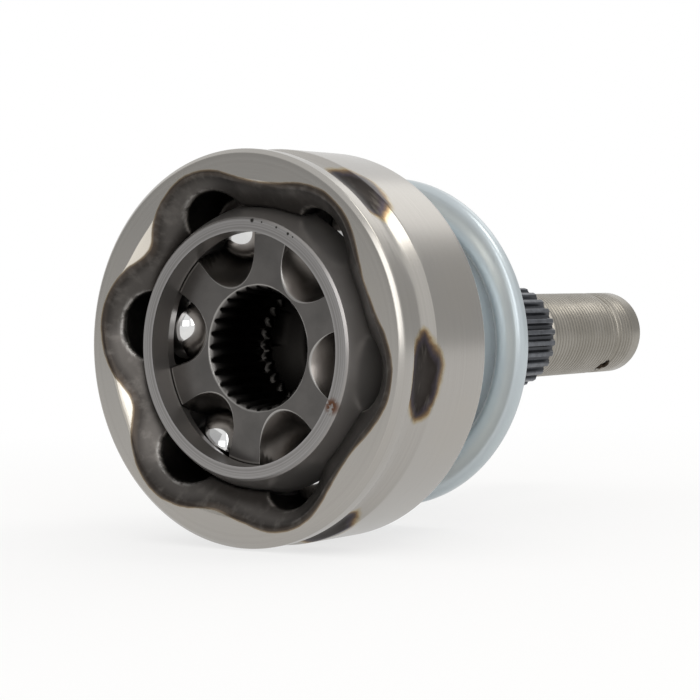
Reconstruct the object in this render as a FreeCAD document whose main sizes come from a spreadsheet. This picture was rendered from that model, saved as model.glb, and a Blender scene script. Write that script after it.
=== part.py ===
import FreeCAD, Part
import math
import os
import Sketcher

# A fixed ball-type constant velocity joint: a bell with a stub axle, a dust shield pressed on
# the bell, and inside the bell a cage, a splined inner race and six balls.
# The joint's centre is the origin. The stub runs along +Y and the mouth of the bell faces -Y.

SIZES = {
    # Ball set
    "ball_count": 6.0,
    "ball_diameter": 15.875,
    "pitch_radius": 29.2,          # joint centre to ball centre, joint straight
    "track_offset": 4.2,           # track centres, ahead of and behind the joint centre
    "track_phase": 50.0,           # angle of the first track, from +X towards +Z
    "outer_track_gap": 0.15,
    "inner_track_gap": 0.25,
    "outer_track_front_angle": 75.0,
    "outer_track_rear_angle": 50.0,
    "inner_track_angle": 55.0,
    # Cage
    "cage_rise": 3.8,              # ball circle to the cage's outside
    "cage_thickness": 5.0,
    "cage_half_width": 17.0,
    "cage_lip": 2.5,               # how far the front lip stands in from the cage's inside
    "cage_edge_chamfer": 0.5,
    "window_gap": 0.35,            # to the ball, along the joint's axis
    "window_length": 19.2,
    "window_corner": 3.5,
    # Inner race and its splined bore
    "race_gap": 0.2,               # race sphere to cage sphere
    "race_half_width": 11.3,
    "bore_chamfer_radius": 13.9,
    "bore_root_radius": 13.6,
    "bore_tip_radius": 12.4,
    "bore_tip_space": 2.3,         # width of the space between teeth
    "bore_root_space": 0.4,
    "bore_space_overlap": 0.4,     # how far the space's cutter starts inside the bore
    "bore_tooth_count": 28.0,
    "clip_groove_start": 6.6,
    "clip_groove_width": 1.8,
    "clip_groove_radius": 14.6,
    # Bell
    "bell_gap": 0.2,               # bell sphere to cage sphere
    "mouth_depth": 18.0,           # mouth face to joint centre
    "mouth_opening": 3.0,          # bell sphere to the edge of the mouth
    "mouth_cone_depth": 5.25,
    "mouth_lobe_radius": 16.5,     # of the six scallops where the tracks open
    "mouth_lobe_rise": 4.5,        # scallop's edge beyond the track's edge
    "mouth_lobe_depth": 7.0,
    "bell_wall": 10.4,             # bell sphere to the outside of the body
    "rim_step": 0.4,               # rim inside the body
    "rim_chamfer": 1.0,
    "rim_land": 4.3,
    "boot_groove_depth": 1.3,
    "boot_groove_width": 4.7,
    "boot_ramp_length": 3.1,
    "body_length": 31.2,           # mouth face to the body's rear edge
    "body_rear_chamfer": 0.5,
    "back_step": 3.6,
    "back_length": 13.3,
    "back_curve": 30.0,            # radius of the bell's rounded back
    "cavity_depth": 29.0,          # joint centre to the floor of the bell
    "cavity_floor_radius": 14.0,
    # Collar, journal and stub
    "collar_radius": 29.8,
    "collar_length": 13.0,
    "collar_chamfer": 1.0,
    "journal_radius": 15.0,
    "journal_length": 9.0,
    "spline_length": 46.9,
    "spline_crest_radius": 13.25,
    "spline_root_radius": 12.1,
    "spline_tooth_count": 28.0,
    "spline_root_space": 0.8,      # width of the space between teeth
    "spline_crest_space": 2.0,
    "spline_chamfer": 0.8,
    "relief_radius": 10.1,
    "relief_length": 2.7,
    "thread_radius": 11.0,
    "thread_length": 48.0,
    "thread_lead": 0.6,
    "thread_chamfer": 1.2,
    "pin_setback": 14.1,           # stub end to the cross hole's centre
    "pin_diameter": 4.5,
    "pin_angle": -56.5,
    "pin_groove_depth": 0.4,
    "pin_groove_width": 3.0,
    # Dust shield
    "shield_thickness": 1.0,
    "shield_rim_radius": 38.9,
    "shield_setback": 1.2,         # flange's rear to the bell's collar end
    "shield_bend": 0.6,
    "shield_bead_rise": 2.2,
    "shield_bead_radius": 7.0,
    "shield_rim_round": 2.0,
    "shield_collar_length": 9.5,
}


class Size:
    """A number together with the sheet expression that gives it."""

    def __init__(self, value, text):
        self.value = value
        self.text = text

    def combine(self, other, symbol, value):
        text = other.text if isinstance(other, Size) else repr(float(other))
        return Size(value, "(%s %s %s)" % (self.text, symbol, text))

    def __add__(self, other):
        return self.combine(other, "+", self.value + number(other))

    def __sub__(self, other):
        return self.combine(other, "-", self.value - number(other))

    def __mul__(self, other):
        return self.combine(other, "*", self.value * number(other))

    def __truediv__(self, other):
        return self.combine(other, "/", self.value / number(other))

    def __neg__(self):
        return Size(-self.value, "(-1 * %s)" % self.text)


def number(item):
    return item.value if isinstance(item, Size) else float(item)


def root(size):
    return Size(math.sqrt(size.value), "sqrt(%s)" % size.text)


def hypot(a, b):
    return root(a * a + b * b)


def side(radius, distance):
    """Radius of the circle that a plane at this distance cuts from a sphere."""
    return root(radius * radius - distance * distance)


def make_sheet(doc):
    sheet = doc.addObject("Spreadsheet::Sheet", "Sizes")
    for row, (alias, value) in enumerate(SIZES.items(), start=1):
        sheet.set("A%d" % row, alias)
        sheet.set("B%d" % row, str(value))
        sheet.setAlias("B%d" % row, alias)
    doc.recompute()
    return {alias: Size(value, "Sizes.%s" % alias) for alias, value in SIZES.items()}


doc = FreeCAD.newDocument("ConstantVelocityJoint")
size = make_sheet(doc)
ZERO = Size(0.0, "0")

# Sizes that follow from the driving ones.
ball_radius = size["ball_diameter"] / 2
track_radius = hypot(size["pitch_radius"], size["track_offset"])
cage_outer_radius = size["pitch_radius"] + size["cage_rise"]
cage_inner_radius = cage_outer_radius - size["cage_thickness"]
race_radius = cage_inner_radius - size["race_gap"]
bell_radius = cage_outer_radius + size["bell_gap"]
mouth_radius = bell_radius + size["mouth_opening"]
body_radius = bell_radius + size["bell_wall"]
rim_radius = body_radius - size["rim_step"]
boot_groove_radius = rim_radius - size["boot_groove_depth"]

mouth_face = -size["mouth_depth"]
groove_start = mouth_face + size["rim_land"]
ramp_start = groove_start + size["boot_groove_width"]
ramp_end = ramp_start + size["boot_ramp_length"]
body_rear = mouth_face + size["body_length"]
collar_start = body_rear + size["back_length"]
collar_end = collar_start + size["collar_length"]
journal_end = collar_end + size["journal_length"]
spline_end = journal_end + size["spline_length"]
relief_end = spline_end + size["relief_length"]
stub_end = relief_end + size["thread_length"]
pin_place = stub_end - size["pin_setback"]


def bind(item, path, value):
    item.setExpression(path, value.text)


def new_body(name):
    body = doc.addObject("PartDesign::Body", name)
    body.Label = name
    return body


def turn_about_axis(item):
    """Turn a piece about the joint's axis to the first track's place, from +X towards +Z."""
    item.Placement = FreeCAD.Placement(
        FreeCAD.Vector(0, 0, 0),
        FreeCAD.Rotation(FreeCAD.Vector(0, -1, 0), size["track_phase"].value))
    bind(item, ".Placement.Rotation.Angle", size["track_phase"])


def origin_feature(body, role):
    for feature in body.Origin.OriginFeatures:
        if feature.Role == role:
            return feature
    raise ValueError("the body has no origin feature " + role)


def new_sketch(body, name, role, lift=None):
    """A sketch on one of the body's own planes, lifted along that plane's normal."""
    sketch = body.newObject("Sketcher::SketchObject", name)
    sketch.AttachmentSupport = [(origin_feature(body, role), "")]
    sketch.MapMode = "FlatFace"
    if lift is not None:
        sketch.AttachmentOffset = FreeCAD.Placement(
            FreeCAD.Vector(0, 0, lift.value), FreeCAD.Rotation())
        bind(sketch, ".AttachmentOffset.Base.z", lift)
    return sketch


def fix(sketch, kind, geometry, point, value):
    """Hold one coordinate of a point to a size, measured from the sketch's origin."""
    if abs(value.value) < 1e-9:
        on_axis = -2 if kind == "DistanceX" else -1
        sketch.addConstraint(Sketcher.Constraint("PointOnObject", geometry, point, on_axis))
        return
    index = sketch.addConstraint(
        Sketcher.Constraint(kind, -1, 1, geometry, point, value.value))
    bind(sketch, "Constraints[%d]" % index, value)


def arc_between(start, end, radius, turn):
    """The arc of this radius from start to end; its centre lies left of the run for turn = 1."""
    half = (end - start) * 0.5
    left = FreeCAD.Vector(-half.y, half.x, 0) * (turn / half.Length)
    centre = start + half + left * math.sqrt(radius * radius - half.Length * half.Length)
    outward = start + half - centre
    middle = centre + outward * (radius / outward.Length)
    return Part.Arc(start, middle, end)


def closed_outline(sketch, corners):
    """Draw a closed outline with each of its sizes bound to the sheet.

    A corner is (x, y) with a straight run to the next corner, or (x, y, radius, turn) with an arc
    to the next corner.
    """
    places = [FreeCAD.Vector(number(corner[0]), number(corner[1]), 0) for corner in corners]
    count = len(corners)
    ends = []
    for index, corner in enumerate(corners):
        start = places[index]
        end = places[(index + 1) % count]
        if len(corner) == 4:
            run = arc_between(start, end, number(corner[2]), corner[3])
        else:
            run = Part.LineSegment(start, end)
        sketch.addGeometry(run, False)
        starts_first = sketch.getPoint(index, 1).distanceToPoint(start) < 1e-6
        ends.append((1, 2) if starts_first else (2, 1))
    for index in range(count):
        following = (index + 1) % count
        sketch.addConstraint(Sketcher.Constraint(
            "Coincident", index, ends[index][1], following, ends[following][0]))
    for index, corner in enumerate(corners):
        fix(sketch, "DistanceX", index, ends[index][0], corner[0])
        fix(sketch, "DistanceY", index, ends[index][0], corner[1])
        if len(corner) == 4:
            hold_radius(sketch, index, corner[2])


def hold_radius(sketch, geometry, radius):
    index = sketch.addConstraint(Sketcher.Constraint("Radius", geometry, number(radius)))
    bind(sketch, "Constraints[%d]" % index, radius)


def circle(sketch, x, y, radius):
    centre = FreeCAD.Vector(number(x), number(y), 0)
    index = sketch.addGeometry(
        Part.Circle(centre, FreeCAD.Vector(0, 0, 1), number(radius)), False)
    fix(sketch, "DistanceX", index, 3, x)
    fix(sketch, "DistanceY", index, 3, y)
    hold_radius(sketch, index, radius)


def rounded_rectangle(sketch, half_width, half_height, corner):
    """Draw a rectangle with round corners about the sketch's origin."""
    inner_x = half_width - corner
    inner_y = half_height - corner
    closed_outline(sketch, [
        (inner_x, -half_height, corner, 1),
        (half_width, -inner_y),
        (half_width, inner_y, corner, 1),
        (inner_x, half_height),
        (-inner_x, half_height, corner, 1),
        (-half_width, inner_y),
        (-half_width, -inner_y, corner, 1),
        (-inner_x, -half_height),
    ])


def revolve(body, name, sketch):
    """Turn a half profile drawn in the XY plane once round the joint's axis."""
    feature = body.newObject("PartDesign::Revolution", name)
    feature.Profile = sketch
    feature.ReferenceAxis = (sketch, ["V_Axis"])
    feature.Angle = 360.0
    body.Tip = feature
    doc.recompute()


def pocket(body, name, sketch, length, reversed_way):
    feature = body.newObject("PartDesign::Pocket", name)
    feature.Profile = sketch
    feature.Type = "Length"
    bind(feature, "Length", length)
    feature.Reversed = reversed_way
    body.Tip = feature
    return feature


def repeat_round_axis(body, name, feature, count):
    """Repeat a feature evenly round the joint's axis."""
    pattern = body.newObject("PartDesign::PolarPattern", name)
    pattern.Originals = [feature]
    pattern.Axis = (origin_feature(body, "Y_Axis"), [""])
    pattern.Angle = 360.0
    bind(pattern, "Occurrences", count)
    body.Tip = pattern
    doc.recompute()


def cut_tracks(body, centre, section_radius, front_angle, rear_angle):
    """Cut the curved ball tracks: each is a circle turned about a centre on the joint's axis."""
    sketch = new_sketch(body, body.Name + "_track_section", "XZ_Plane", -centre)
    circle(sketch, track_radius, ZERO, section_radius)
    track = body.newObject("PartDesign::Groove", body.Name + "_track")
    track.Profile = sketch
    track.ReferenceAxis = (sketch, ["V_Axis"])
    track.Type = "TwoAngles"
    bind(track, "Angle", rear_angle)
    bind(track, "Angle2", front_angle)
    body.Tip = track
    repeat_round_axis(body, body.Name + "_tracks", track, size["ball_count"])


def cut_spline(body, name, place, length, reversed_way, inner, outer, count):
    """Cut the spaces between spline teeth. inner and outer are (radius, width of the space)."""
    sketch = new_sketch(body, name + "_space", "XZ_Plane", -place)
    closed_outline(sketch, [
        (inner[0], -(inner[1] / 2)),
        (outer[0], -(outer[1] / 2)),
        (outer[0], outer[1] / 2),
        (inner[0], inner[1] / 2),
    ])
    space = pocket(body, name + "_first_space", sketch, length, reversed_way)
    repeat_round_axis(body, name + "_spaces", space, count)


def make_outer_race():
    """The bell, its collar, the journal and the splined and threaded stub: one forging."""
    body = new_body("outer_race")
    sketch = new_sketch(body, "bell_and_stub_profile", "XY_Plane")
    cone_end = mouth_face + size["mouth_cone_depth"]
    pin_half_width = size["pin_groove_width"] / 2
    closed_outline(sketch, [
        (ZERO, size["cavity_depth"]),
        (size["cavity_floor_radius"], size["cavity_depth"]),
        (size["cavity_floor_radius"], side(bell_radius, size["cavity_floor_radius"]),
         bell_radius, -1),
        (side(bell_radius, cone_end), cone_end),
        (mouth_radius, mouth_face),
        (rim_radius - size["rim_chamfer"], mouth_face),
        (rim_radius, mouth_face + size["rim_chamfer"]),
        (rim_radius, groove_start),
        (boot_groove_radius, groove_start),
        (boot_groove_radius, ramp_start),
        (body_radius, ramp_end),
        (body_radius, body_rear - size["body_rear_chamfer"]),
        (body_radius - size["body_rear_chamfer"], body_rear),
        (body_radius - size["back_step"], body_rear, size["back_curve"], 1),
        (size["collar_radius"], collar_start),
        (size["collar_radius"], collar_end - size["collar_chamfer"]),
        (size["collar_radius"] - size["collar_chamfer"], collar_end),
        (size["journal_radius"], collar_end),
        (size["journal_radius"], journal_end),
        (size["spline_crest_radius"], journal_end),
        (size["spline_crest_radius"], spline_end - size["spline_chamfer"]),
        (size["spline_crest_radius"] - size["spline_chamfer"], spline_end),
        (size["relief_radius"], spline_end),
        (size["relief_radius"], relief_end),
        (size["thread_radius"], relief_end + size["thread_lead"]),
        (size["thread_radius"], pin_place - pin_half_width),
        (size["thread_radius"] - size["pin_groove_depth"], pin_place),
        (size["thread_radius"], pin_place + pin_half_width),
        (size["thread_radius"], stub_end - size["thread_chamfer"]),
        (size["thread_radius"] - size["thread_chamfer"], stub_end),
        (ZERO, stub_end),
    ])
    revolve(body, "bell_and_stub", sketch)
    cut_tracks(body, -size["track_offset"], ball_radius + size["outer_track_gap"],
               size["outer_track_front_angle"], size["outer_track_rear_angle"])
    scallop_mouth(body)
    cut_spline(body, "stub_spline", spline_end, size["spline_length"], True,
               (size["spline_root_radius"], size["spline_root_space"]),
               (size["spline_crest_radius"], size["spline_crest_space"]),
               size["spline_tooth_count"])
    drill_pin_hole(body)
    turn_about_axis(body)
    return body


def scallop_mouth(body):
    """Open each track's mouth with a short cone, so that the bell's mouth has six scallops."""
    to_face = size["mouth_depth"] - size["track_offset"]
    track_edge = side(track_radius + ball_radius + size["outer_track_gap"], to_face)
    reach = track_edge + size["mouth_lobe_rise"]
    sketch = new_sketch(body, "scallop_circle", "XZ_Plane", -mouth_face)
    circle(sketch, reach - size["mouth_lobe_radius"], ZERO, size["mouth_lobe_radius"])
    scallop = pocket(body, "scallop", sketch, size["mouth_lobe_depth"], False)
    scallop.TaperAngle = -45.0
    repeat_round_axis(body, "scallops", scallop, size["ball_count"])


def drill_pin_hole(body):
    """Drill the cross hole for the nut's split pin."""
    sketch = new_sketch(body, "pin_hole_circle", "YZ_Plane")
    turn = size["track_phase"] - size["pin_angle"]
    sketch.AttachmentOffset = FreeCAD.Placement(
        FreeCAD.Vector(0, 0, 0), FreeCAD.Rotation(FreeCAD.Vector(1, 0, 0), turn.value))
    bind(sketch, ".AttachmentOffset.Rotation.Angle", turn)
    circle(sketch, pin_place, ZERO, size["pin_diameter"] / 2)
    hole = pocket(body, "pin_hole", sketch, size["thread_radius"] * 2, False)
    hole.Midplane = True
    doc.recompute()


def make_dust_shield():
    """A pressed steel ring: a collar gripping the bell, then a flange with a rounded bead."""
    body = new_body("dust_shield")
    sheet = size["shield_thickness"]
    inner = size["collar_radius"]
    outer = inner + sheet
    rim = size["shield_rim_radius"]
    flange_rear = collar_end - size["shield_setback"]
    flange_front = flange_rear - sheet
    bead_start = outer + size["shield_bend"]
    crown = flange_front - size["shield_bead_rise"]
    crown_radius = rim - size["shield_rim_round"]
    sketch = new_sketch(body, "dust_shield_profile", "XY_Plane")
    closed_outline(sketch, [
        (inner, flange_rear - size["shield_collar_length"]),
        (outer, flange_rear - size["shield_collar_length"]),
        (outer, flange_front - size["shield_bend"], size["shield_bend"], -1),
        (bead_start, flange_front, size["shield_bead_radius"], 1),
        (crown_radius, crown, size["shield_rim_round"], 1),
        (rim, crown + size["shield_rim_round"]),
        (rim, flange_rear),
        (rim - sheet, flange_rear),
        (rim - sheet, crown + size["shield_rim_round"], size["shield_rim_round"] - sheet, -1),
        (crown_radius, crown + sheet, size["shield_bead_radius"] - sheet, -1),
        (bead_start, flange_rear),
        (inner, flange_rear),
    ])
    revolve(body, "dust_shield_sheet", sketch)
    return body


def make_ball_cage():
    """The ring between the two races, with a window for each ball."""
    body = new_body("ball_cage")
    sketch = new_sketch(body, "cage_profile", "XY_Plane")
    half = size["cage_half_width"]
    chamfer = size["cage_edge_chamfer"]
    outer = cage_outer_radius
    inner = cage_inner_radius
    shoulder = half - chamfer
    entry = inner - size["cage_lip"]
    closed_outline(sketch, [
        (entry, -half),
        (side(outer, shoulder) - chamfer, -half),
        (side(outer, shoulder), -shoulder, outer, 1),
        (side(outer, shoulder), shoulder),
        (side(outer, shoulder) - chamfer, half),
        (side(inner, half), half, inner, -1),
        (entry, -side(inner, entry)),
    ])
    revolve(body, "cage_ring", sketch)
    window = new_sketch(body, "window_outline", "YZ_Plane")
    rounded_rectangle(window, ball_radius + size["window_gap"], size["window_length"] / 2,
                      size["window_corner"])
    first = pocket(body, "window", window, outer, True)
    repeat_round_axis(body, "windows", first, size["ball_count"])
    turn_about_axis(body)
    return body


def make_inner_race():
    """The ball-grooved race with its splined bore and the groove for the shaft's clip."""
    body = new_body("inner_race")
    sketch = new_sketch(body, "race_profile", "XY_Plane")
    half = size["race_half_width"]
    tip = size["bore_tip_radius"]
    chamfer = size["bore_chamfer_radius"] - tip
    clip_start = size["clip_groove_start"]
    clip_end = clip_start + size["clip_groove_width"]
    closed_outline(sketch, [
        (tip, -(half - chamfer)),
        (size["bore_chamfer_radius"], -half),
        (side(race_radius, half), -half, race_radius, 1),
        (side(race_radius, half), half),
        (size["bore_chamfer_radius"], half),
        (tip, half - chamfer),
        (tip, clip_end),
        (size["clip_groove_radius"], clip_end),
        (size["clip_groove_radius"], clip_start),
        (tip, clip_start),
    ])
    revolve(body, "race_blank", sketch)
    cut_tracks(body, size["track_offset"], ball_radius + size["inner_track_gap"],
               size["inner_track_angle"], size["inner_track_angle"])
    cut_spline(body, "bore_spline", half, half * 2, True,
               (tip - size["bore_space_overlap"], size["bore_tip_space"]),
               (size["bore_root_radius"], size["bore_root_space"]),
               size["bore_tooth_count"])
    turn_about_axis(body)
    return body


def make_ball(index):
    """One bearing ball, in the plane through the joint's centre."""
    ball = doc.addObject("Part::Sphere", "ball_%d" % (index + 1))
    ball.Label = ball.Name
    bind(ball, "Radius", ball_radius)
    angle = size["track_phase"] + (Size(360.0, "360") / size["ball_count"]) * index
    radians = math.radians(angle.value)
    bind(ball, ".Placement.Base.x", size["pitch_radius"] * Size(
        math.cos(radians), "cos(%s)" % angle.text))
    bind(ball, ".Placement.Base.z", size["pitch_radius"] * Size(
        math.sin(radians), "sin(%s)" % angle.text))
    return ball


def check_document():
    for item in doc.Objects:
        if "Invalid" in item.State or "Error" in item.State:
            raise RuntimeError("%s did not compute: %s" % (item.Name, item.State))


def export(parts):
    os.makedirs("parts", exist_ok=True)
    for part in parts:
        shape = part.Shape
        if shape.isNull() or not shape.isValid():
            raise RuntimeError("%s has no valid shape" % part.Label)
        shape.exportStep("parts/%s.step" % part.Label)
        print("%-12s %2d solid(s) %10.1f mm3" % (part.Label, len(shape.Solids), shape.Volume))


parts = [make_outer_race(), make_dust_shield(), make_ball_cage(), make_inner_race()]
parts += [make_ball(index) for index in range(int(size["ball_count"].value))]
doc.recompute()
check_document()
export(parts)
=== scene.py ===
"""The looks of a fixed ball-type constant velocity joint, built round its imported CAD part."""

import math

import bpy
import numpy as np
from mathutils import Matrix, Vector


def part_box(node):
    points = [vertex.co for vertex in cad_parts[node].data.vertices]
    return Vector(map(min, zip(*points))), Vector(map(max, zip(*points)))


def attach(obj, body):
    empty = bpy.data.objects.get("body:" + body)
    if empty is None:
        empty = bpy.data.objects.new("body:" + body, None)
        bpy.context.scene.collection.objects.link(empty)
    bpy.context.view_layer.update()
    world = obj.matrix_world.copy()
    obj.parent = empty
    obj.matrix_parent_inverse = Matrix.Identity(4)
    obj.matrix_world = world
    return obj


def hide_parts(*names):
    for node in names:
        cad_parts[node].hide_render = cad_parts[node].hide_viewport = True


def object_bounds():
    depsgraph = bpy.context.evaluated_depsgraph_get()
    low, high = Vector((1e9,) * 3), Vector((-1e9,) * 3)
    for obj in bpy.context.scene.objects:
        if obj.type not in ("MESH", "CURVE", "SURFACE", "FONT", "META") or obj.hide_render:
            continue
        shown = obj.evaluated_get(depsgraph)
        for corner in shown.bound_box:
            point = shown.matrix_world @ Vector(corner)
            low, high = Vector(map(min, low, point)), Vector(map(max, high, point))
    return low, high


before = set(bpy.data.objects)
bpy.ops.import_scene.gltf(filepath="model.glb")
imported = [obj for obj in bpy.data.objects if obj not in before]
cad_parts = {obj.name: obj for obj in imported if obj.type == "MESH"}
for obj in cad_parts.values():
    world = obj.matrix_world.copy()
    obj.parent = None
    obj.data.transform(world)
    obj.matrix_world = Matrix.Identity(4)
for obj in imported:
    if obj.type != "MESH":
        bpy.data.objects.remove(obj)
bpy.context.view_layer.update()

MM = 0.001
WHITE = (1.0, 1.0, 1.0)

# The ball tracks, in millimetres. Places are along +Y from the joint's centre.
TRACK_COUNT = 6
TRACK_PHASE = math.radians(50.0)
TRACK_OFFSET = 4.2
PITCH_RADIUS = 29.2
TRACK_RADIUS = math.hypot(PITCH_RADIUS, TRACK_OFFSET)
TRACK_REAR_ANGLE = math.radians(50.0)
BALL_RADIUS = 7.9375
OUTER_SECTION = BALL_RADIUS + 0.15
INNER_SECTION = BALL_RADIUS + 0.25
SOLVING_ROUNDS = 14

# The bell's outside.
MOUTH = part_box("outer_race")[0].y / MM
BELL_COLUMNS = 648
RIM_RADIUS = 43.2
RIM_BEVEL = 1.0
FACE_RADIUS = RIM_RADIUS - 2.2
GROOVE_RADIUS = 41.9
GROOVE_START = MOUTH + 4.3
RAMP_START = GROOVE_START + 4.7
RAMP_END = RAMP_START + 3.1
BODY_RADIUS = 43.6
BODY_BEVEL = 0.6
BODY_REAR = MOUTH + 31.2
BACK_RADIUS = 40.0
BACK_CORNERS = [(38.3, 16.4, 1.0), (35.2, 21.0, 1.5)]
COLLAR_RADIUS = 29.8
COLLAR_BEVEL = 1.0
COLLAR_START = BODY_REAR + 13.3
COLLAR_END = COLLAR_START + 13.0

# The bell's inside.
BELL_SPHERE = 33.2
CAVITY_DEPTH = 29.0
CAVITY_FLOOR = 14.0
CAVITY_CORNER = (17.0, 28.6)
TRACK_BLEND = 0.6
FUNNEL_BLEND = 1.0
MOUTH_CHAMFER = 36.2
MOUTH_WAVE = 37.5
MOUTH_WAVE_RISE = 2.0
MOUTH_WAVE_BLEND = 0.8
MOUTH_SLOPE = 1.05
MOUTH_EDGE = 0.45

# What heat and wear left on the bell, and where it gets painted shade and a painted highlight.
SPOT_PLACE = GROOVE_START + 5.1
SPOT_HALF_WIDTH = 5.5
SPOT_HALF_ANGLE = 13.5
SPOT_LEAN = math.radians(2.0)
SPOT_RAGGEDNESS = 2.6
SCORCH_REACH = 1.3
SCORCH_DRAW = 2.6
SCORCH_DRAW_WIDTH = math.radians(10.0)
SCORCH_LEAN = 0.3
SCORCH_LEAN_ANGLE = math.radians(-5.0)
SCORCH_FADE = 3.0
SCORCH_RAGGEDNESS = 0.7
WORN_WIDTH = 0.65
WORN_BEFORE = -8.0
# Painted shade inside the bell: none before this place, full this much further in.
PAINTED_SHADE_FROM = 6.0
PAINTED_SHADE_FADE = 6.0
# A painted highlight on one side of the mouth's chamfer: how far in from the mouth it reaches, and how far
# round it spreads.
CHAMFER_HIGHLIGHT_DEPTH = 5.0
CHAMFER_HIGHLIGHT_SPREAD = 1.3

# The journal, spline and thread.
STUB_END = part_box("outer_race")[1].y / MM
JOURNAL_RADIUS = 15.0
JOURNAL_BEVEL = 0.6
JOURNAL_END = COLLAR_END + 9.0
SUNK_IN_COLLAR = 3.0
SPLINE_END = JOURNAL_END + 46.9
SPLINE_TEETH = 28
SPLINE_CREST = 13.25
SPLINE_ROOT = 12.1
SPLINE_BEVEL = 0.8
SPLINE_RUN_OUT = 1.5
CREST_LIGHT_DEPTH = 0.25
RELIEF_RADIUS = 10.1
RELIEF_END = SPLINE_END + 2.7
THREAD_RADIUS = 11.0
THREAD_BEVEL = 1.2
THREAD_PITCH = 1.5
THREAD_DEPTH = 0.4
THREAD_HALF_WIDTH = 0.28
PIN_PLACE = STUB_END - 14.1
PIN_ANGLE = math.radians(-56.5)
PIN_RADIUS = 2.25
PIN_RECESS = 1.2
PIN_WALL = 0.2
PINCH_DEPTH = 0.4
PINCH_WIDTH = 0.9
LATHE_CENTRE = 2.6

# The inner race.
RACE_SPHERE = 27.8
RACE_HALF = 11.3
RACE_EDGE = 0.28
BORE_CHAMFER = 13.9
BORE_ROOT = 13.6
BORE_TIP = 12.4
BORE_TEETH = 28
CLIP_GROOVE = 14.6
CLIP_START = 6.6
CLIP_END = 8.4

# The pressed steel dust shield. Pairs are the radius and place of its sheet's middle.
SHIELD_SHEET = 1.0
SHIELD_REAR = COLLAR_END - 1.2
SHIELD_RIM = 38.9 - SHIELD_SHEET / 2
SHIELD_COLLAR = 30.3
SHIELD_COLLAR_FRONT = 28.8
SHIELD_BEND = (31.4, SHIELD_REAR - 0.6)
SHIELD_BEAD = (33.4, SHIELD_REAR - 3.4)
SHIELD_CROWN = (36.6, SHIELD_REAR - 2.75)
SHIELD_LIP = (38.35, SHIELD_REAR - 2.45)
# Where the shield gets painted shade on its collar and lip, and a painted highlight along its bend.
COLLAR_SHADE_EDGE = 31.2
COLLAR_SHADE_FADE = 0.3
BEND_GLEAM = 31.3
BEND_GLEAM_WIDTH = 0.35
LIP_SHADE_START = 35.6
LIP_SHADE_FADE = 2.4
SHIELD_FLECK = (28.2, 36.6, 18.4)

# Small marks on the cage's front. A pit is its angle in degrees and its size.
CAGE_FRONT = -17.0
CAGE_FRONT_FADE = 0.4
CAGE_PITS = ((82.0, 0.45), (76.5, 0.20), (68.0, 0.25), (61.0, 0.32), (58.0, 0.2))
CAGE_PIT_RADIUS = 27.9
CAGE_RUST = (24.2, -17.0, -12.0)

# Colours, as linear red, green and blue. Pairs are the ends of a blend, and lists are ramps.
TURNED_STEEL = ((0.370, 0.355, 0.332), (0.385, 0.370, 0.347))
WARM_STEEL = (0.40, 0.375, 0.335)
# Painted highlight on one side of the mouth's chamfer.
CHAMFER_PAINTED_HIGHLIGHT = (0.72, 0.675, 0.60)
TEMPER_COLOURS = [
    (0.0, (0.34, 0.285, 0.19)),
    (0.12, (0.20, 0.135, 0.075)),
    (0.24, (0.085, 0.062, 0.048)),
    (0.36, (0.045, 0.038, 0.045)),
    (0.55, (0.026, 0.022, 0.020)),
    (1.0, (0.045, 0.040, 0.037)),
]
TEMPER_STREAK = (0.10, 0.092, 0.082)
SCALE_COLOURS = [
    (0.0, (0.38, 0.33, 0.25)),
    (0.07, (0.19, 0.145, 0.10)),
    (0.18, (0.065, 0.053, 0.044)),
    (0.55, (0.040, 0.036, 0.033)),
    (1.0, (0.075, 0.069, 0.064)),
]
SCALE_FLOW = (0.13, 0.12, 0.11)
RUBBED_STEEL = (0.62, 0.60, 0.57)
# Painted shade deep inside the bell.
CAVITY_PAINTED_SHADE = (0.012, 0.011, 0.010)
PHOSPHATE_BLACK = ((0.030, 0.032, 0.037), (0.060, 0.064, 0.073))
LIGHTER_CREST = (0.16, 0.168, 0.185)
OILED_STEEL = ((0.265, 0.247, 0.214), (0.305, 0.286, 0.252))
# Painted shade in the thread's valleys and in the split pin hole.
THREAD_VALLEY_PAINTED_SHADE = (0.13, 0.118, 0.102)
PIN_HOLE_PAINTED_SHADE = (0.03, 0.022, 0.016)
ZINC = ((0.71, 0.78, 0.815), (0.76, 0.825, 0.84))
# Painted shade on the shield's collar and lip, and a painted highlight along its bend.
ZINC_COLLAR_PAINTED_SHADE = (0.33, 0.375, 0.40)
ZINC_LIP_PAINTED_SHADE = (0.30, 0.34, 0.365)
ZINC_BEND_PAINTED_HIGHLIGHT = (0.97, 0.98, 0.98)
FLECK_DARK = (0.06, 0.06, 0.06)
CAGE_RING = ((0.205, 0.197, 0.192), (0.29, 0.282, 0.277))
CAGE_SPHERE = (0.28, 0.265, 0.255)
PIT_DARK = (0.02, 0.018, 0.016)
RUST_BROWN = (0.10, 0.045, 0.025)
HARDENED_STEEL = ((0.105, 0.100, 0.096), (0.135, 0.128, 0.122))
GROUND_TRACK = (0.30, 0.275, 0.255)
# Painted highlight along the race's edges, and painted shade in its bore.
EDGE_PAINTED_HIGHLIGHT = (0.34, 0.33, 0.315)
BORE_PAINTED_SHADE = (0.030, 0.028, 0.026)
POLISHED_STEEL = ((0.66, 0.66, 0.66), (0.74, 0.74, 0.73))

# The studio, in metres. Room greys go from straight down to straight up.
ROOM_GREYS = [(0.0, 0.80), (0.46, 0.95), (0.50, 0.95), (0.70, 0.90), (1.0, 0.95)]
ROOM_TINT = (1.0, 0.985, 0.96)
FLOOR_HALF = 6.0
FLOOR_GREY = (0.82, 0.82, 0.82)
WARM_WHITE = (1.0, 0.98, 0.94)

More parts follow.
